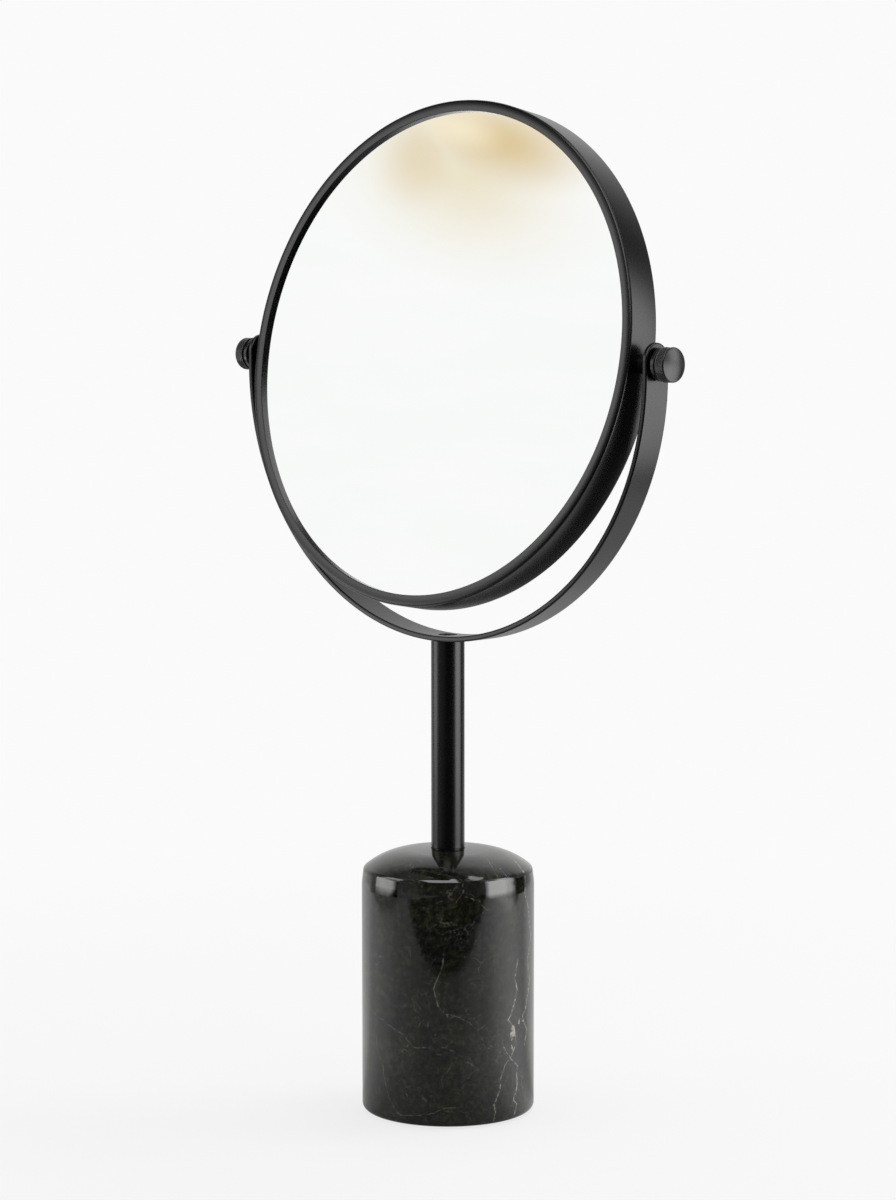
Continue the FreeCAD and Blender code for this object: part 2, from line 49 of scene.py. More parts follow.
class Wire:
    """A node's output. Arithmetic on wires adds Math nodes, and add() adds any other node."""

    def __init__(self, tree, socket=None):
        self.tree = tree
        self.socket = socket

    def add(self, kind, settings=None, sockets=None, output=0):
        """A new node of this type, with its settings and its sockets' values or wires."""
        node = self.tree.nodes.new(kind)
        for name, value in (settings or {}).items():
            if name == "stops":
                ramp = node.color_ramp
                while len(ramp.elements) < len(value):
                    ramp.elements.new(1.0)
                for element, (place, level) in zip(ramp.elements, value):
                    element.position = place
                    element.color = grey(level)
            else:
                setattr(node, name, value)
        for name, value in (sockets or {}).items():
            if isinstance(value, Wire):
                self.tree.links.new(value.socket, node.inputs[name])
            else:
                node.inputs[name].default_value = value
        return Wire(self.tree, node.outputs[output] if node.outputs else None)

    def work_out(self, operation, *values):
        sockets = dict(enumerate(values))
        return self.add("ShaderNodeMath", {"operation": operation}, sockets)

    def __add__(self, other):
        return self.work_out("ADD", self, other)

    __radd__ = __add__

    def __sub__(self, other):
        return self.work_out("SUBTRACT", self, other)

    def __rsub__(self, other):
        return self.work_out("SUBTRACT", other, self)

    def __mul__(self, other):
        return self.work_out("MULTIPLY", self, other)

    __rmul__ = __mul__

    def __truediv__(self, other):
        return self.work_out("DIVIDE", self, other)

    def __abs__(self):
        return self.work_out("ABSOLUTE", self)

    def most(self, other):
        return self.work_out("MAXIMUM", self, other)

    def vector(self, operation, *values, output=0, **more):
        sockets = dict(enumerate(values))
        sockets.update(more)
        return self.add("ShaderNodeVectorMath", {"operation": operation}, sockets, output)

    def dot(self, direction):
        return self.vector("DOT_PRODUCT", self, direction, output="Value")

    def step(self, start, end):
        """0 up to start and 1 past end, with a smooth rise between them."""
        settings = {"interpolation_type": "SMOOTHSTEP"}
        sockets = {"Value": self, "From Min": start, "From Max": end}
        return self.add("ShaderNodeMapRange", settings, sockets)

    def within(self, start, end, soft):
        """1 between start and end, with a smooth edge of this width outside them."""
        return self.step(start - soft, start) * (1 - self.step(end, end + soft))

    def levels(self, stops):
        """A number that follows (place, level) points, as this wire goes from 0 to 1."""
        return self.add("ShaderNodeValToRGB", {"stops": stops}, {"Fac": self})

    def blend(self, first, second):
        """Colour that goes from first to second as this wire goes from 0 to 1."""
        settings = {"data_type": "RGBA"}
        return self.add("ShaderNodeMix", settings, {0: self, 6: first, 7: second}, 2)

    def noise(self, size, detail=2.0, roughness=0.5, output=0):
        """Noise over a place in millimetres, in lumps of about this size."""
        sockets = {"Vector": self, "Scale": 1 / size, "Detail": detail, "Roughness": roughness}
        return self.add("ShaderNodeTexNoise", None, sockets, output)

    def cells(self, size, feature, output):
        """Many-sided cells of about this size, over a place in millimetres."""
        sockets = {"Vector": self, "Scale": 1 / size}
        return self.add("ShaderNodeTexVoronoi", {"feature": feature}, sockets, output)


def begin(name):
    """A new material: the material, its shader, and the place on the piece in millimetres."""
    material = bpy.data.materials.new(name)
    material.use_nodes = True
    tree = material.node_tree
    shader = tree.nodes["Principled BSDF"]
    place = Wire(tree).add("ShaderNodeTexCoord", output="Object")
    return material, shader, place.vector("SCALE", place, Scale=1000.0)


def feed(shader, name, wire):
    wire.tree.links.new(wire.socket, shader.inputs[name])


def bump(shader, height, distance):
    """Relief on the surface: height goes from 0 to 1, and distance is in millimetres."""
    sockets = {"Height": height, "Distance": distance / 1000, "Strength": 1.0}
    feed(shader, "Normal", height.add("ShaderNodeBump", None, sockets))


def finish(node, material):
    """Gives a CAD node its material."""
    slots = nodes[node].data.materials
    slots.clear()
    slots.append(material)


ACROSS = Vector((1, 0, 0))
DEEP = Vector((0, 1, 0))
UP = Vector((0, 0, 1))

# Each vein: the way that its path runs, the way that the path bends, its width, its strength,
# the height below which it is left out, and its points (how far along, how far sideways). All
# sizes are in millimetres.
VEINS = [
    (UP, DEEP, 0.46, 0.62, 0, [
        (4, 2.3), (7, 3.4), (9, 3.9), (11, 1.3), (15, 3.4), (19, 4.5), (23, 3.9), (28, 4.4),
        (32.5, -0.8), (39, 3.3), (43, 2.8), (48, 1.2), (52, -2.4), (54, -0.8), (58, 1.2),
        (60, 2.2), (66, 4.3), (72, 2.1), (76, 3.7), (80, 4.4),
    ]),
    (UP, DEEP, 0.36, 0.42, 0, [
        (3, -11.2), (7, -10.4), (11, -11.2), (14.5, -9.3), (18, -7.7), (23, -7.4), (27, -5.7),
        (30, -4.4), (33, -1.0), (37, -4.4), (41, -6.1),
    ]),
    (UP, DEEP, 0.46, 0.45, 0, [
        (38, 11.3), (44, 13.2), (52, 8.8), (55, 12.0), (61, 14.3), (68, 17.0), (79, 14.2),
        (91, 18.9), (96, 16.8), (103, 15.7), (108, 14.0), (113, 10.9), (119, 12.4),
        (124, 12.6), (128, 15.0),
    ]),
    (UP, Vector((0.787, 0.617, 0)), 0.28, 0.26, 0, [
        (57, 3.6), (59, 0.9), (61.5, -1.0), (66, -2.3), (70, -3.3), (73, -2.3), (77, -0.3),
        (81, 0.9), (86, 1.9),
    ]),
    (Vector((0.529, 0.849, 0)), UP, 0.26, 0.14, 0, [
        (-12, 57.6), (-6.5, 56.2), (-0.6, 53.0), (3.5, 49.0), (7.7, 51.0), (9.9, 45.2),
        (14.3, 45.0), (20, 47.4),
    ]),
    (Vector((0.974, 0.226, 0)), UP, 0.28, 0.16, 0, [
        (-20, 53.5), (-14.6, 51.9), (-5.7, 48.0), (-1.7, 46.6), (0.7, 44.8), (5, 40.6),
        (7.4, 40.1), (11.7, 40.8), (14.3, 40.9), (16.9, 37.5),
    ]),
    (UP, ACROSS, 0.30, 0.15, 0, [
        (5, 8.0), (8, 4.5), (12, 1.2), (18, -1.5), (24, -3.5), (29, -3.9), (35, -8.3),
        (41, -8.8),
    ]),
    (ACROSS, UP, 0.30, 0.12, 0, [
        (6, 6.4), (9, 5.5), (14, 6.1), (19, 6.5), (24, 8.2), (29, 10.9), (32, 10.9),
    ]),
    (DEEP, UP, 0.30, 0.28, 0, [(-24.3, 115.3), (-18.4, 112.7), (-17.2, 110.2), (-14.9, 108.4)]),
    (ACROSS, DEEP, 0.26, 0.24, 118, [(26, -0.6), (33, -4.4), (39, -7.3)]),
    (ACROSS, DEEP, 0.26, 0.26, 118, [(33, -2.4), (36, -1.6), (41, -2.0)]),
]
VEIN_SPAN = 260.0          # the ramps' whole height stands for this many millimetres
VEIN_END = 2.5             # how far a vein fades out past its ends
CALCITE = (0.50, 0.48, 0.43, 1)

stone, stone_shader, place = begin("polished black marble")
cloud = place.noise(21.0, 4.0, 0.55)
mottle = place.noise(2.6, 5.0, 0.68)
warmth = place.vector("ADD", place, (40.0, 9.0, 3.0)).noise(15.0, 3.0, 0.6).step(0.40, 0.60)
body_colour = warmth.blend((0.0058, 0.0060, 0.0050, 1), (0.0074, 0.0078, 0.0038, 1))
light_colour = warmth.blend((0.0172, 0.0178, 0.0155, 1), (0.0215, 0.0224, 0.0120, 1))
dark_colour = warmth.blend((0.0012, 0.0012, 0.0012, 1), (0.0018, 0.0019, 0.0009, 1))
grain = mottle * 0.7 + cloud * 0.3
body_colour = grain.step(0.49, 0.62).blend(body_colour, light_colour)
body_colour = grain.step(0.38, 0.50).blend(dark_colour, body_colour)

# small shakes make each vein's path ragged, and gaps break its line
shake = place.noise(1.3, 2.0, 0.6, "Color")
shaken = place.vector("MULTIPLY_ADD", shake, (1.3, 1.3, 1.3), place)
shaken = place.vector("SUBTRACT", shaken, (0.65, 0.65, 0.65))
broken = place.noise(1.9, 4.0, 0.7).step(0.42, 0.58)
veins = None
for along, sideways, width, strength, lowest, path in VEINS:
    first, last = path[0][0], path[-1][0]
    length = last - first
    run = shaken.dot(along)
    stops = [((at - first) / length, 0.5 + offset / VEIN_SPAN) for at, offset in path]
    course = ((run - first) / length).levels(stops)
    away = abs(shaken.dot(sideways) - (course - 0.5) * VEIN_SPAN)
    line = 1 - away.step(width * 0.25, width * 1.15)
    halo = (1 - away.step(width, width * 4.0)) * 0.10
    line = line.most(halo) * run.within(first, last, VEIN_END)
    line = line * (broken * 0.88 + 0.12) * strength
    if lowest:
        line = line * place.dot(UP).step(lowest, lowest + 2.0)
    veins = line if veins is None else veins.most(line)

# hairline cracks healed with calcite, only here and there
wander = place.noise(9.0, 2.0, 0.5, "Color")
wandered = shaken.vector("MULTIPLY_ADD", wander, (9.0, 9.0, 9.0), shaken)
crack = 1 - wandered.cells(13.0, "DISTANCE_TO_EDGE", "Distance").step(0.004, 0.022)
shown = place.noise(19.0, 3.0, 0.6).step(0.50, 0.66)
veins = veins.most(crack * shown * broken * 0.13)
fine_crack = 1 - wandered.cells(4.6, "DISTANCE_TO_EDGE", "Distance").step(0.008, 0.05)
patch = place.vector("ADD", place, (0.0, 31.0, 7.0)).noise(12.0, 2.0).step(0.55, 0.68)
veins = veins.most(fine_crack * patch * broken * 0.09)

# angular white chips where the two large veins meet
chip = place.vector("MULTIPLY", place, (1.0, 1.0, 0.42)).cells(2.3, "F1", "Color").dot(ACROSS)
near = place.dot(DEEP).within(-1.0, 14.0, 3.0) * place.dot(UP).within(38.0, 49.0, 2.5)
near = near * place.dot(ACROSS).step(20.0, 30.0)
veins = veins.most(chip.step(0.88, 0.92) * near * (broken * 0.7 + 0.05))

# single pale crystals
flecks = place.noise(0.75, 1.0, 0.5).step(0.66, 0.76) * place.noise(6.0, 2.0).step(0.45, 0.65)
veins = veins.most(flecks * 0.07)

feed(stone_shader, "Base Color", veins.blend(body_colour, CALCITE))
feed(stone_shader, "Roughness", 0.045 + mottle * 0.045)
stone_shader.inputs["IOR"].default_value = 1.75
swell = place.noise(7.0, 2.0)
bump(stone_shader, swell * 0.8 + mottle * 0.2, 0.010)
finish("marble_base", stone)

# ---- Felt pad ----
# A disc of black wool felt, glued into the recess under the stone so that it doesn't slide or
# mark the table.

felt, felt_shader, place = begin("black wool felt")
fibres = place.noise(0.35, 6.0, 0.75)
matted = place.noise(6.0, 3.0, 0.6)
feed(felt_shader, "Base Color", (fibres * 0.8 + matted * 0.2).blend(grey(0.006), grey(0.035)))
felt_shader.inputs["Roughness"].default_value = 0.95
bump(felt_shader, fibres, 0.25)
finish("base_pad", felt)

# ---- Stud, washers, nut and plugs ----
# Zinc plated steel inside the base and the stem: the stud's nut pulls the stem down on the
# stone, and the two plugs are pressed into the tube's ends.

BRIGHT_ZINC = (0.42, 0.43, 0.45, 1)
YELLOWED_ZINC = (0.62, 0.62, 0.58, 1)
ZINC_PIECES = (
    "base_stud", "base_washer", "base_spring_washer", "base_nut",
    "stem_lower_plug", "stem_upper_plug",
)

zinc, zinc_shader, place = begin("zinc plated steel")
spangle = place.noise(1.1, 3.0)
stain = place.noise(7.0, 3.0, 0.6)
plated = (spangle * 0.6 + stain * 0.4).blend(BRIGHT_ZINC, YELLOWED_ZINC)
feed(zinc_shader, "Base Color", plated)
feed(zinc_shader, "Roughness", 0.26 + spangle * 0.16)
zinc_shader.inputs["Metallic"].default_value = 1.0
bump(zinc_shader, spangle, 0.01)
for node in ZINC_PIECES:
    finish(node, zinc)

# ---- Stem ----
# Steel tube, powder coated satin black: a very fine orange peel and slightly uneven gloss. It
# stands in a shallow seat in the stone, with a thin dark line round its foot.

STEM_RADIUS = 8.3
STEM_BORE = 6.8
STEM_FOOT = 130.8
STEM_TOP = 236.4
STEM_AROUND = 128          # points round the tube
DOME_TOP = 132.3
FOOT_GROOVE = 0.35         # a small step round the foot keeps the coating off the stone
SHARP_EDGE = math.radians(28)   # faces that meet at more than this show an edge


def satin_black(name, level, gloss, specular=0.5):
    """A satin black coat over metal: how grey it is, and how rough."""
    material, shader, place = begin(name)
    patches = place.noise(22.0, 3.0)
    peel = place.noise(0.8, 2.0)
    feed(shader, "Base Color", patches.blend(grey(level * 0.6), grey(level * 1.4)))
    feed(shader, "Roughness", gloss + (patches - 0.5) * 0.06 + (peel - 0.5) * 0.05)
    shader.inputs["Specular IOR Level"].default_value = specular
    bump(shader, peel, 0.004)
    return material


def turned(name, outline, around, axis, material, relief=None, closed=False):
    """A turned piece from (radius, place) points in millimetres, with its line along axis."""
    rows = []
    shape = bmesh.new()
    for radius, at in outline:
        ring = []
        for step in range(around if radius else 1):
            angle = 2 * math.pi * step / around
            reach = radius - (relief(step, at) if relief else 0)
            corner = Vector((reach * math.cos(angle), reach * math.sin(angle), at))
            ring.append(shape.verts.new(axis @ (corner / 1000)))
        rows.append(ring)
    if closed:
        rows.append(rows[0])
    for one, two in zip(rows, rows[1:]):
        for step in range(around):
            round_face = ((one, step), (one, step + 1), (two, step + 1), (two, step))
            corners = [row[k % len(row)] for row, k in round_face]
            shape.faces.new(list(dict.fromkeys(corners)))   # a point on the line counts once
    bmesh.ops.recalc_face_normals(shape, faces=shape.faces)
    mesh = bpy.data.meshes.new(name)
    shape.to_mesh(mesh)
    shape.free()
    mesh.shade_smooth()
    mesh.set_sharp_from_angle(angle=SHARP_EDGE)
    mesh.materials.append(material)
    piece = bpy.data.objects.new(name, mesh)
    bpy.context.scene.collection.objects.link(piece)
    return piece


def belongs(piece, body, node):
    """A piece that moves with this body and takes the place of this CAD node."""
    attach(piece, body)
    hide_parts(node)


coat = satin_black("satin black coating", 0.0012, 0.27)
stem_outline = [
    (STEM_BORE, STEM_FOOT),
    (STEM_RADIUS - FOOT_GROOVE, STEM_FOOT),
    (STEM_RADIUS - FOOT_GROOVE, DOME_TOP + FOOT_GROOVE),
    (STEM_RADIUS - FOOT_GROOVE / 2, DOME_TOP + FOOT_GROOVE * 1.3),
    (STEM_RADIUS, DOME_TOP + FOOT_GROOVE * 2),
    (STEM_RADIUS, STEM_TOP),
    (STEM_BORE, STEM_TOP),
]
stem = turned("stem", stem_outline, STEM_AROUND, Matrix.Identity(4), coat, closed=True)
belongs(stem, "stand", "stem_tube")

# ---- Yoke ----
# A flat steel bar with rounded ends, rolled to a half circle and drilled for the pivots and the
# screw. It has the same powder coating as the stem that it stands on.

finish("yoke", coat)

# ---- Yoke screw ----
# Blackened socket screw, sunk in the bottom of the yoke and down into the stem's plug. Its
# head is matt, so it reads as a dark spot in the bar.

sooted = satin_black("dull black screw", 0.003, 0.65, specular=0.1)
finish("yoke_screw", sooted)

# ---- Hoop ----
# Rolled steel with a slightly crowned lip in front that holds the glass, and a pressed rim that
# closes the back. Powder coated satin black like the stem.

HOOP_RADIUS = 125.0
HOOP_DEPTH = 19.6
HOOP_BORE = 122.0
HOOP_CORNER = 1.4
HOOP_AROUND = 360          # points round the hoop
LIP_RADIUS = 119.4
LIP_THICKNESS = 2.5
LIP_CROWN = 0.36
LIP_CROWN_ROUND = 9.0
LIP_EDGE_ROUND = 0.4
HOOP_LEAN = 10.2           # degrees that the top leans back
PIVOT_HEIGHT = 375.3
HOOP_PLACE = (0, -11.3, 1.6)    # its front from the pivots' line, before it leans
ARC_STEP = math.radians(6)      # between the points of a rounded corner


def rounded(outline):
    """Points of an outline, from corners that are (radius, place) or (radius, place, round)."""
    points = []
    for k, corner in enumerate(outline):
        here = Vector(corner[:2])
        if len(corner) == 2:
            points.append(here)
            continue
        before = (Vector(outline[k - 1][:2]) - here).normalized()
        after = (Vector(outline[(k + 1) % len(outline)][:2]) - here).normalized()
        half = before.angle(after) / 2
        centre = here + (before + after).normalized() * corner[2] / math.sin(half)
        reach = corner[2] / math.tan(half)
        start = here + before * reach - centre
        end = here + after * reach - centre
        sweep = math.pi - 2 * half
        steps = math.ceil(sweep / ARC_STEP)
        for i in range(steps + 1):
            part = sweep * i / steps
            arm = start * math.sin(sweep - part) + end * math.sin(part)
            points.append(centre + arm / math.sin(sweep))
    return points


def moved(x, y, z):
    """A move in millimetres."""
    return Matrix.Translation((x / 1000, y / 1000, z / 1000))


hoop_outline = rounded([
    (LIP_RADIUS, LIP_CROWN, LIP_EDGE_ROUND),
    ((LIP_RADIUS + HOOP_RADIUS) / 2, 0, LIP_CROWN_ROUND),
    (HOOP_RADIUS, LIP_CROWN, HOOP_CORNER),
    (HOOP_RADIUS, HOOP_DEPTH, HOOP_CORNER),
    (HOOP_BORE, HOOP_DEPTH),
    (HOOP_BORE, LIP_THICKNESS),
    (LIP_RADIUS, LIP_THICKNESS),
])
leaning = Matrix.Rotation(math.radians(-HOOP_LEAN), 4, "X")
front_to_back = Matrix.Rotation(math.radians(-90), 4, "X")
hoop_axis = moved(0, 0, PIVOT_HEIGHT) @ leaning @ moved(*HOOP_PLACE) @ front_to_back
hoop = turned("hoop", hoop_outline, HOOP_AROUND, hoop_axis, coat, closed=True)
belongs(hoop, "mirror", "mirror_band")
finish("rear_bezel", coat)

# ---- Glasses ----
# Two silvered discs set back to back: flat float glass in front, and behind a dished one that
# enlarges. Clean, with only the faint streaks of a wiping cloth.

GLASS_RADIUS = 121.7
GLASS_RINGS = 30           # rings of points from the middle of the dish to its edge
GLASS_AROUND = 180
DISH_RADIUS = 1046.57      # of its hollow, silvered side
DISH_CENTRE = 1056.57      # from the hoop's front, along the hoop's line
DISH_THICKNESS = 2.0
STREAKED_SILVER = (0.930, 0.945, 0.938, 1)
CLEAN_SILVER = (0.945, 0.955, 0.950, 1)


def dish(bend):
    """Points of a face that is dished to this radius, from its middle to its edge."""
    radii = (GLASS_RADIUS * k / GLASS_RINGS for k in range(GLASS_RINGS + 1))
    return [(radius, DISH_CENTRE - math.sqrt(bend ** 2 - radius ** 2)) for radius in radii]


silvered, silvered_shader, place = begin("silvered glass")
wiped = place.vector("MULTIPLY", place, (0.25, 1.0, 1.0)).noise(26.0, 3.0, 0.55)
feed(silvered_shader, "Base Color", wiped.step(0.3, 0.7).blend(STREAKED_SILVER, CLEAN_SILVER))
silvered_shader.inputs["Roughness"].default_value = 0.0
silvered_shader.inputs["Metallic"].default_value = 1.0
finish("front_glass", silvered)

dish_outline = dish(DISH_RADIUS + DISH_THICKNESS) + dish(DISH_RADIUS)[::-1]
dished = turned("dished_glass", dish_outline, GLASS_AROUND, hoop_axis, silvered)
belongs(dished, "mirror", "rear_glass")

# ---- Foam spacer ----
# A ring of firm black foam, cut from sheet. It holds the two glasses apart and against the
# hoop's lip and the rear rim.

foam, foam_shader, place = begin("firm black foam")
pores = place.noise(0.6, 4.0)
feed(foam_shader, "Base Color", pores.blend(grey(0.01), grey(0.03)))
foam_shader.inputs["Roughness"].default_value = 0.9
bump(foam_shader, pores, 0.1)
finish("glass_spacer", foam)

# ---- Pivot studs and sleeves ----
# Blackened steel studs, countersunk into the hoop from inside and threaded to their ends, and
# the sleeves that clamp the hoop. The thread shows when a knob is backed off.

STUD_RADIUS = 2.5
STUD_HEAD = 122.2          # the head's face, from the middle of the mirror
STUD_HEAD_RADIUS = 4.3
STUD_HEAD_RIM = 0.2
STUD_HEAD_DEPTH = 2.0
STUD_END = 141.8
STUD_TIP_RADIUS = 1.9
STUD_CHAMFER = 0.6
THREAD_START = 127.0
THREAD_END = STUD_END - STUD_CHAMFER
THREAD_PITCH = 0.8
THREAD_DEPTH = 0.43
THREAD_ROWS = 8            # rows of points to one turn of the thread
THREAD_AROUND = 40
THREAD_SLOPE = 1.3         # how steep the groove's sides are
THREAD_FLAT = 0.15         # leaves a narrow flat on the crest


def thread(step, at):
    """How far below the stud's surface the thread's groove lies."""
    if at < THREAD_START or at > THREAD_END - 0.05:
        return 0
    part = (at / THREAD_PITCH - step / THREAD_AROUND) % 1.0
    depth = min(1.0, max(0.0, THREAD_SLOPE * abs(2 * part - 1) - THREAD_FLAT))
    fade = min(1.0, (at - THREAD_START) / THREAD_PITCH)
    return THREAD_DEPTH * depth * fade


def pivot_line(side):
    """The line that one pivot's pieces are turned about, out from the middle of the mirror."""
    outward = math.radians(-90 if side == "left" else 90)
    return moved(0, 0, PIVOT_HEIGHT) @ Matrix.Rotation(outward, 4, "Y")


black_steel = satin_black("blackened steel", 0.006, 0.30)
thread_rows = round((THREAD_END - THREAD_START) / THREAD_PITCH * THREAD_ROWS)
stud_outline = [
    (0, STUD_HEAD),
    (STUD_HEAD_RADIUS, STUD_HEAD),
    (STUD_HEAD_RADIUS, STUD_HEAD + STUD_HEAD_RIM),
    (STUD_RADIUS, STUD_HEAD + STUD_HEAD_DEPTH),
]
stud_outline += [
    (STUD_RADIUS, THREAD_START + k * THREAD_PITCH / THREAD_ROWS) for k in range(thread_rows)
]
stud_outline += [(STUD_RADIUS, THREAD_END), (STUD_TIP_RADIUS, STUD_END), (0, STUD_END)]
for side in ("left", "right"):
    line = pivot_line(side)
    stud = turned(f"pivot_thread_{side}", stud_outline, THREAD_AROUND, line, black_steel, thread)
    belongs(stud, "mirror", f"pivot_stud_{side}")
    finish(f"pivot_sleeve_{side}", black_steel)

# ---- Nylon washers ----
# Black nylon, stamped from sheet: one each side of both arms of the yoke. The mirror turns on
# the inner ones, and the knobs press on the outer ones.

nylon, nylon_shader, place = begin("black nylon")
sheen = place.noise(1.5, 2.0)
feed(nylon_shader, "Base Color", sheen.blend(grey(0.008), grey(0.014)))
feed(nylon_shader, "Roughness", 0.4 + sheen * 0.1)
bump(nylon_shader, sheen, 0.01)
for node in ("inner_washer_left", "inner_washer_right", "outer_washer_left", "outer_washer_right"):
    finish(node, nylon)

# ---- Knobs ----
# Turned steel, blackened: a neck, a plain collar, a groove and a grip with fine slanting
# ridges rolled into it. The end is domed and keeps the fine rings of the turning tool.

KNOB_FACE = 134.6          # from the middle of the mirror. The ends below are from this face
KNOB_BORE = 2.55
KNOB_BORE_END = 7.8
NECK_RADIUS = 5.5
NECK_END = 1.0
COLLAR_RADIUS = 7.9
COLLAR_END = 3.1
COLLAR_ROUND = 0.3
GROOVE_RADIUS = 7.3
GROOVE_END = 4.0
GRIP_RADIUS = 8.25
GRIP_EDGE_ROUND = 0.15
KNURL_START = 4.2
KNURL_AROUND = 56          # ridges round the grip
KNURL_ALONG = 5            # how many ridges one line along the grip crosses
KNURL_POINTS = 6           # points across one ridge
KNURL_DEPTH = 0.42
KNURL_PITCH = 0.82
KNURL_END = KNURL_START + KNURL_ALONG * KNURL_PITCH
KNURL_SLOPE = 2.6          # how steep a groove's sides are
KNURL_RUN_OUT = 0.35       # the length over which the ridges fade at both ends
END_ROUND = 0.7
CROWN_FOOT = 9.1
CROWN_RISE = 1.0
CROWN_RADIUS = 7.7
CROWN_RINGS = 12


def knurl(step, at):
    """How far below the grip's surface the ridges and their grooves lie."""
    if at < KNURL_START - 1e-6 or at > KNURL_END + 1e-6:
        return 0
    around = step / KNURL_POINTS
    along = (at - KNURL_START) / KNURL_PITCH
    crest = min(1.0, KNURL_SLOPE * abs((around - along + 0.5) % 1.0 - 0.5))
    ends = min(1.0, (at - KNURL_START) / KNURL_RUN_OUT, (KNURL_END - at) / KNURL_RUN_OUT)
    return KNURL_DEPTH * (1 - crest) * max(0.0, ends)


knob_outline = rounded([
    (0, KNOB_BORE_END),
    (KNOB_BORE, KNOB_BORE_END),
    (KNOB_BORE, 0),
    (NECK_RADIUS, 0),
    (NECK_RADIUS, NECK_END),
    (COLLAR_RADIUS, NECK_END, COLLAR_ROUND),
    (COLLAR_RADIUS, COLLAR_END, COLLAR_ROUND),
    (GROOVE_RADIUS, COLLAR_END),
    (GROOVE_RADIUS, GROOVE_END),
    (GRIP_RADIUS, GROOVE_END, GRIP_EDGE_ROUND),
    (GRIP_RADIUS, KNURL_START),
])
# the grip's ridges, the round at its outer edge and the crown of its end
knurl_rows = KNURL_ALONG * KNURL_POINTS
knob_outline += [
    (GRIP_RADIUS, KNURL_START + k * KNURL_PITCH / KNURL_POINTS) for k in range(1, knurl_rows + 1)
]
knob_outline += [
    (GRIP_RADIUS - END_ROUND * (1 - math.cos(a)), CROWN_FOOT - END_ROUND * (1 - math.sin(a)))
    for a in (math.radians(10 * k) for k in range(1, 9))
]
knob_outline += [
    (CROWN_RADIUS * part, CROWN_FOOT + CROWN_RISE * (1 - part ** 2))
    for part in (1 - k / CROWN_RINGS for k in range(CROWN_RINGS + 1))
]

turned_black, turned_shader, place = begin("turned and blackened steel")
# the ridges' crests are lighter, both from the black rubbed off them and as a painted highlight of
# their shine, but the domed end is not
from_axis = place.vector("SUBTRACT", place, (0.0, 0.0, PIVOT_HEIGHT))
from_axis = from_axis.vector("MULTIPLY", from_axis, (0.0, 1.0, 1.0))
from_axis = from_axis.vector("LENGTH", from_axis, output="Value")
rubbed_and_highlit = from_axis.step(8.02, 8.24)
past_ridges = abs(place.dot(ACROSS)).step(KNOB_FACE + 8.2, KNOB_FACE + 8.5)
crest_wear_and_highlight = rubbed_and_highlit * (1 - past_ridges)
# fine rings that the turning tool left
tool_marks = {"W": from_axis * 3.2, "Detail": 3.0}
rings = from_axis.add("ShaderNodeTexNoise", {"noise_dimensions": "1D"}, tool_marks)
grime = place.noise(2.2, 4.0, 0.6)
blackened = grime.blend(grey(0.0015), grey(0.006))
# the crests' lighter grey is rubbed metal and painted highlight together
feed(turned_shader, "Base Color", (crest_wear_and_highlight * (0.4 + grime)).blend(blackened, grey(0.055)))
feed(turned_shader, "Roughness", 0.20 + grime * 0.12)
bump(turned_shader, rings * 0.7 + grime * 0.3, 0.004)
knob_around = KNURL_AROUND * KNURL_POINTS
for side in ("left", "right"):
    line = pivot_line(side) @ moved(0, 0, KNOB_FACE)
    knob = turned(f"grip_knob_{side}", knob_outline, knob_around, line, turned_black, knurl)
    belongs(knob, f"{side}_knob", f"knob_{side}")

# ---- Camera ----
# A long lens, slightly above the middle of the glass and well round to its right, and rolled
# hardly at all.

CAMERA_TURN = math.radians(43.242)
CAMERA_RISE = math.radians(5.811)
CAMERA_ROLL = math.radians(-0.041)
CAMERA_DISTANCE = 1.64932
CAMERA_AIM = Vector((0.0, 0.0, 0.256315))
CAMERA_SIDESTEP = 0.000113
LENS = 100.02
FARTHEST_SEEN = 100

back = Vector((
    math.sin(CAMERA_TURN) * math.cos(CAMERA_RISE),
    -math.cos(CAMERA_TURN) * math.cos(CAMERA_RISE),
    math.sin(CAMERA_RISE),
))
right = Vector((math.cos(CAMERA_TURN), math.sin(CAMERA_TURN), 0))
camera = bpy.data.objects.new("camera", bpy.data.cameras.new("camera"))
bpy.context.scene.collection.objects.link(camera)
camera.data.lens = LENS
camera.data.clip_end = FARTHEST_SEEN
tripod = Matrix.Translation(CAMERA_AIM + right * CAMERA_SIDESTEP + back * CAMERA_DISTANCE)
facing = Matrix((right, back.cross(right), back)).transposed().to_4x4()
camera.matrix_world = tripod @ facing @ Matrix.Rotation(CAMERA_ROLL, 4, "Z")
bpy.context.scene.camera = camera

# ---- Room ----
# A dark studio: grey curtains hang behind at both sides, and the ceiling is a little lighter
# than the walls. Polished stone and paint show it, and the glass shows only white.

WHITE = 0.957
ROOM_LIGHT = 0.55          # what the room itself lights the object with
DARK_WALL = 0.05
front = Vector((back.x, back.y, 0)).normalized()


def bare(owner):
    """The empty node tree of a material or a world."""
    owner.use_nodes = True
    owner.node_tree.nodes.clear()
    return Wire(owner.node_tree)


def degrees(wire):
    return wire * (180 / math.pi)


def light_path(wire, ray):
    return wire.add("ShaderNodeLightPath", output=ray)


def in_the_glass(wire):
    """1 for what the camera sees straight through one reflection in a silvered glass."""
    depth = light_path(wire, "Ray Depth")
    return light_path(wire, "Is Singular Ray") * wire.work_out("LESS_THAN", depth, 1.5)


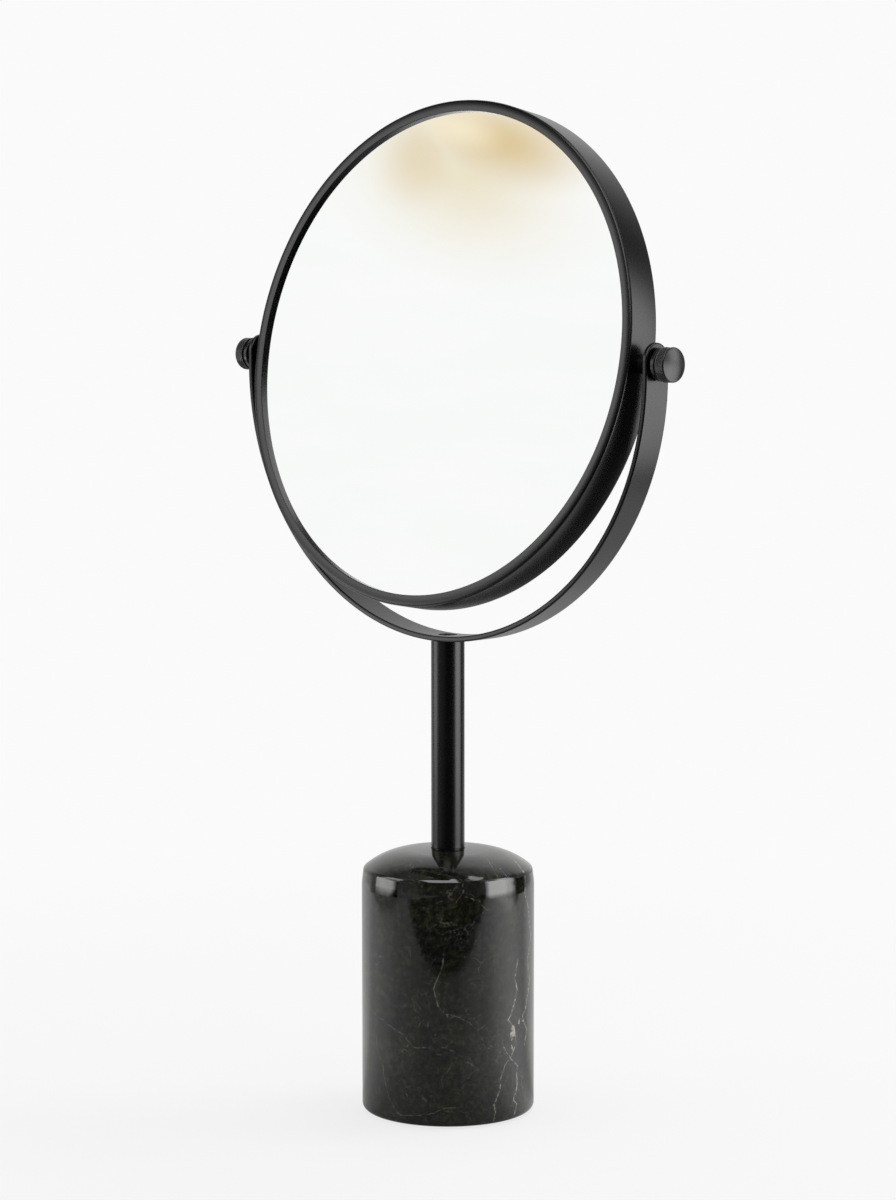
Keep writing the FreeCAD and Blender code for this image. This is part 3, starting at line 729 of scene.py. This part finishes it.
world = bpy.data.worlds.new("studio")
bpy.context.scene.world = world
sky = bare(world)
direction = sky.add("ShaderNodeTexCoord", output="Generated")
bearing = degrees(sky.work_out("ARCTAN2", direction.dot(right), direction.dot(front)))
rise = degrees(sky.work_out("ARCSINE", direction.dot(UP)))
left_curtain = (0 - bearing - rise * 0.5).step(100, 150) * (0.68 - rise.step(20, 40) * 0.11)
right_curtain = bearing.step(110, 162) * (1 - bearing.step(165, 180) * 0.25)
right_curtain = right_curtain * (0.87 - rise.step(25, 45) * 0.15)
turned_away = abs(bearing)
low_wall = turned_away.step(28, 55) * 0.13 + turned_away.step(96, 108) * 0.07
low_wall = low_wall * (1 - rise.step(14, 34))
walls = left_curtain.most(right_curtain).most(low_wall) * (1 - rise.step(46, 66))
room = DARK_WALL + walls + rise.step(48, 62) * 0.12
seen = light_path(sky, "Is Camera Ray")
mirrored = light_path(sky, "Is Glossy Ray")
sharp = in_the_glass(sky)
strength = seen.most(sharp) * WHITE + mirrored * (1 - sharp) * room
strength = strength + (1 - seen.most(mirrored)) * ROOM_LIGHT
background = sky.add("ShaderNodeBackground", None, {"Color": grey(1.0), "Strength": strength})
sky.add("ShaderNodeOutputWorld", None, {"Surface": background})

# ---- Paper ----
# One large sheet of white paper: on a table under the object, and then on past it. It runs out
# to plain white, so that it has no edge, and it keeps the object's soft shadow.

PAPER_REACH = 4.0
PAPER_WHITE = 0.765        # what the sheet shows by itself, near the object
PAPER_CATCH = 0.13         # how much it takes of the lamps' light, and so of the shadow


def spot(aside, ahead, height):
    """A place in the studio: metres to the camera's right, towards it, and up."""
    return right * aside + front * ahead + UP * height


def stage_piece(name, corners, material):
    """A flat piece of the studio, from its corners."""
    mesh = bpy.data.meshes.new(name)
    mesh.from_pydata(corners, [], [range(len(corners))])
    mesh.materials.append(material)
    piece = bpy.data.objects.new(name, mesh)
    bpy.context.scene.collection.objects.link(piece)
    return piece


def shine(tree, strength, colour=grey(1.0)):
    return tree.add("ShaderNodeEmission", None, {"Color": colour, "Strength": strength})


def matt(tree, level):
    return tree.add("ShaderNodeBsdfDiffuse", None, {"Color": grey(level)})


def either(share, first, second):
    """The first shader where share is 0, and the second where it is 1."""
    return share.add("ShaderNodeMixShader", None, {0: share, 1: first, 2: second})


paper = bpy.data.materials.new("white paper")
sheet = bare(paper)
place = sheet.add("ShaderNodeTexCoord", output="Object")
aside, ahead = place.dot(right), place.dot(front)
away = sheet.work_out("SQRT", aside * aside + ahead * ahead)
bearing = degrees(sheet.work_out("ARCTAN2", aside, ahead))

# how bright polished stone and paint see the paper, all round from behind by the left: painted
# light that stands in for the lamps' uneven light on it
seen_round = ((bearing + 180) / 360).levels([
    (0.0, 0.50), (0.065, 0.66), (0.108, 0.79), (0.147, 0.83), (0.178, 0.65), (0.206, 0.69),
    (0.242, 0.61), (0.272, 0.56), (0.303, 0.41), (0.328, 0.35), (0.364, 0.29), (0.417, 0.20),
    (0.472, 0.17), (0.522, 0.18), (0.547, 0.22), (0.586, 0.31), (0.625, 0.43), (0.650, 0.56),
    (0.678, 0.83), (0.706, 0.99), (0.733, 1.12), (0.767, 1.04), (0.789, 0.84), (0.817, 0.64),
    (0.856, 0.86), (0.895, 0.82), (0.925, 0.72), (1.0, 0.52),
])

# the table ends at both sides and in front, the sheet goes on behind, and there is a gap
# between it and the softbox
on_table = aside.step(-0.578, -0.545) * (1 - aside.step(0.61, 0.62))
on_table = on_table * (1 - (ahead - aside * 0.045).step(0.388, 0.398))
open_back = abs(bearing).step(118, 128) * (1 - away.step(0.5, 1.6) * 0.6)
gap = aside.step(0.57, 0.59) * ahead.step(-0.20, -0.15) * (1 - ahead.step(-0.10, -0.05))
on_table = on_table * (1 - gap * 0.75)
# and darker close to the object, out to about 0.2 m: a painted shadow of the object on the paper
seen_round = seen_round * on_table.most(open_back) * (0.70 + away.step(0.05, 0.20) * 0.30)
# a painted pool of the softbox's light on the paper at its foot
painted_box_light = aside.step(0.565, 0.605) * ahead.step(-0.12, 0.02) * (1 - ahead.step(0.30, 0.40))
off_left = (1 - on_table) * (0 - aside).step(0.45, 0.55)
seen_round = seen_round + painted_box_light * 0.8 + off_left * 0.22 + 0.015

near_parts = {0: matt(sheet, PAPER_CATCH), 1: shine(sheet, PAPER_WHITE)}
near_paper = sheet.add("ShaderNodeAddShader", None, near_parts)
shown = either(away.step(0.22, 0.75), near_paper, shine(sheet, WHITE))
seen = light_path(sheet, "Is Camera Ray").most(in_the_glass(sheet))
shown = either(seen, matt(sheet, 0.8), shown)
mirrored = light_path(sheet, "Is Glossy Ray") * (1 - in_the_glass(sheet))
shown = either(mirrored, shown, shine(sheet, seen_round))
sheet.add("ShaderNodeOutputMaterial", None, {"Surface": shown})
paper_corners = [
    spot(across * PAPER_REACH, deep * PAPER_REACH, 0)
    for across, deep in ((-1, -1), (1, -1), (1, 1), (-1, 1))
]
stage_piece("paper", paper_corners, paper)

# ---- Left panel ----
# A white cloth on a frame, lit from behind by two lamps: a low one and one at mid height. In
# the glass it shows as a warm glow on the white.

PANEL_FOOT = 0.003
LEFT_PANEL_TOP = 0.9
LEFT_PANEL_LEVEL = 3.0
WARM_WHITE = (0.883, 0.787, 0.582, 1)
AMBER = (0.774, 0.609, 0.346, 1)
GLOW_CORE = (1.0, 0.886, 0.660, 1)


def standing(one, two, top):
    """Corners of an upright panel, from the two ends of its foot and the height of its top."""
    foot = [spot(*end, PANEL_FOOT) for end in (one, two)]
    head = [spot(*end, top) for end in (two, one)]
    return foot + head


def reflector(name, corners, material, tree, strength, in_glass=None):
    """A light panel that only polished surfaces show, and what the glass shows in its place."""
    if in_glass is None:
        in_glass = tree.add("ShaderNodeBsdfTransparent")
    shown = either(in_the_glass(tree), shine(tree, strength), in_glass)
    tree.add("ShaderNodeOutputMaterial", None, {"Surface": shown})
    piece = stage_piece(name, corners, material)
    piece.visible_camera = False
    piece.visible_diffuse = False
    piece.visible_shadow = False


def lobe(ahead, height, centre, size, start=0.0):
    """A round glow on the panel, which fades out from its middle to its size."""
    across = (ahead - centre[0]) / size[0]
    above = (height - centre[1]) / size[1]
    far = ahead.work_out("SQRT", across * across + above * above)
    return 1 - far.step(start, 1.0)


left_cloth = bpy.data.materials.new("left panel")
tree = bare(left_cloth)
place = tree.add("ShaderNodeTexCoord", output="Object")
ahead, height = place.dot(front), place.dot(UP)
halo = lobe(ahead, height, (0.017, 0.643), (0.112, 0.076), -0.296)
right_lobe = lobe(ahead, height, (0.035, 0.679), (0.083, 0.040))
left_lobe = lobe(ahead, height, (-0.019, 0.654), (0.039, 0.050))
core = lobe(ahead, height, (0.004, 0.679), (0.040, 0.020))
warmed = halo.blend((1.0, 1.0, 0.995, 1), WARM_WHITE)
warmed = right_lobe.most(left_lobe * 0.57).blend(warmed, AMBER)
warmed = (core * 0.79).blend(warmed, GLOW_CORE)

level = (height / LEFT_PANEL_TOP).levels([
    (0.0, 0.20), (0.04, 0.36), (0.08, 0.60), (0.12, 0.95), (0.26, 0.95), (0.32, 0.34),
    (0.44, 0.50), (0.56, 0.80), (0.66, 0.72), (0.76, 0.40), (0.87, 0.12), (1.0, 0.04),
])
# the light falls off towards the back edge, at the foot there, and between the lamps in front
upper_back = (1 - ahead.step(-0.17, -0.10)) * height.step(0.20, 0.28)
back_foot = (1 - ahead.step(-0.17, -0.06)) * (1 - height.step(0.07, 0.11))
low_front = ahead.step(-0.02, 0.16) * height.step(0.14, 0.19) * (1 - height.step(0.27, 0.33))
slanting_edge = (ahead - height * 0.7).step(0.03, 0.15)
level = level * (1 - upper_back * 0.85) * (1 - back_foot * 0.4) * (1 - low_front * 0.7)
level = level * LEFT_PANEL_LEVEL * (1 - slanting_edge)
left_corners = standing((-0.608, -0.21), (-0.639, 0.25), LEFT_PANEL_TOP)
reflector("left_panel", left_corners, left_cloth, tree, level, shine(tree, 1.0, warmed))

# ---- Right softbox ----
# A tall box with a cloth front, standing close to the paper's right edge. It is brightest in
# its front half, and its upper part shines only at the back.

RIGHT_BOX_TOP = 0.95
RIGHT_BOX_UPPER_LEVEL = 3.3

right_cloth = bpy.data.materials.new("right softbox")
tree = bare(right_cloth)
place = tree.add("ShaderNodeTexCoord", output="Object")
ahead, height = place.dot(front), place.dot(UP)
level = 0.15 + ahead.step(-0.11, -0.03) * 2.8 + ahead.step(0.02, 0.14) * 1.3
level = level * (1 - ahead.step(0.38, 0.46) * 0.7)
level = level * (0.35 + height.step(0.0, 0.09) * 0.65) * (1 - height.step(0.34, 0.42) * 0.85)
upper = ahead.step(-0.12, -0.02) * (1 - ahead.step(0.14, 0.22))
upper = upper * height.step(0.36, 0.42) * (1 - height.step(0.52, 0.80))
level = level.most(upper * RIGHT_BOX_UPPER_LEVEL)
right_corners = standing((0.557, 0.47), (0.665, -0.135), RIGHT_BOX_TOP)
reflector("right_softbox", right_corners, right_cloth, tree, level)

# ---- Light boxes above ----
# Two flat boxes that hang over the object, a large one to the left and a small one to the
# right. The polished dome shows them as two windows.

BOX_HEIGHT = 1.0
BOXES = [
    ("large", 2.6, [(-0.42, 0.22), (0.05, 0.0), (0.35, 1.15), (-0.60, 1.25)]),
    ("small", 2.2, [(0.20, -0.16), (0.36, -0.20), (0.50, 0.30), (0.32, 0.35)]),
]

for size, level, box_corners in BOXES:
    cloth = bpy.data.materials.new(f"{size} box above")
    corners = [spot(*corner, BOX_HEIGHT) for corner in box_corners]
    reflector(f"upper_box_{size}", corners, cloth, bare(cloth), level)

# ---- Lamps ----
# Three plain soft lamps: one overhead and one at each side. They light the object evenly, and
# the panels and boxes stand in for them where a surface is polished.


def lamp(name, place, aim, width, height, watts):
    light = bpy.data.lights.new(name, "AREA")
    light.shape = "RECTANGLE"
    light.size = width
    light.size_y = height
    light.energy = watts
    holder = bpy.data.objects.new(name, light)
    bpy.context.scene.collection.objects.link(holder)
    holder.location = place
    holder.rotation_euler = (Vector(aim) - Vector(place)).to_track_quat("-Z", "Y").to_euler()
    holder.visible_glossy = False


lamp("overhead lamp", spot(0.3, -0.3, 2.0), (0, 0, 0.2), 1.4, 1.4, 26)
lamp("left lamp", spot(-1.6, 0.2, 0.7), (0, 0, 0.25), 1.2, 1.2, 8)
lamp("right lamp", spot(1.6, -0.3, 0.7), (0, 0, 0.25), 0.8, 1.2, 16)

bpy.context.scene.view_settings.view_transform = "Standard"
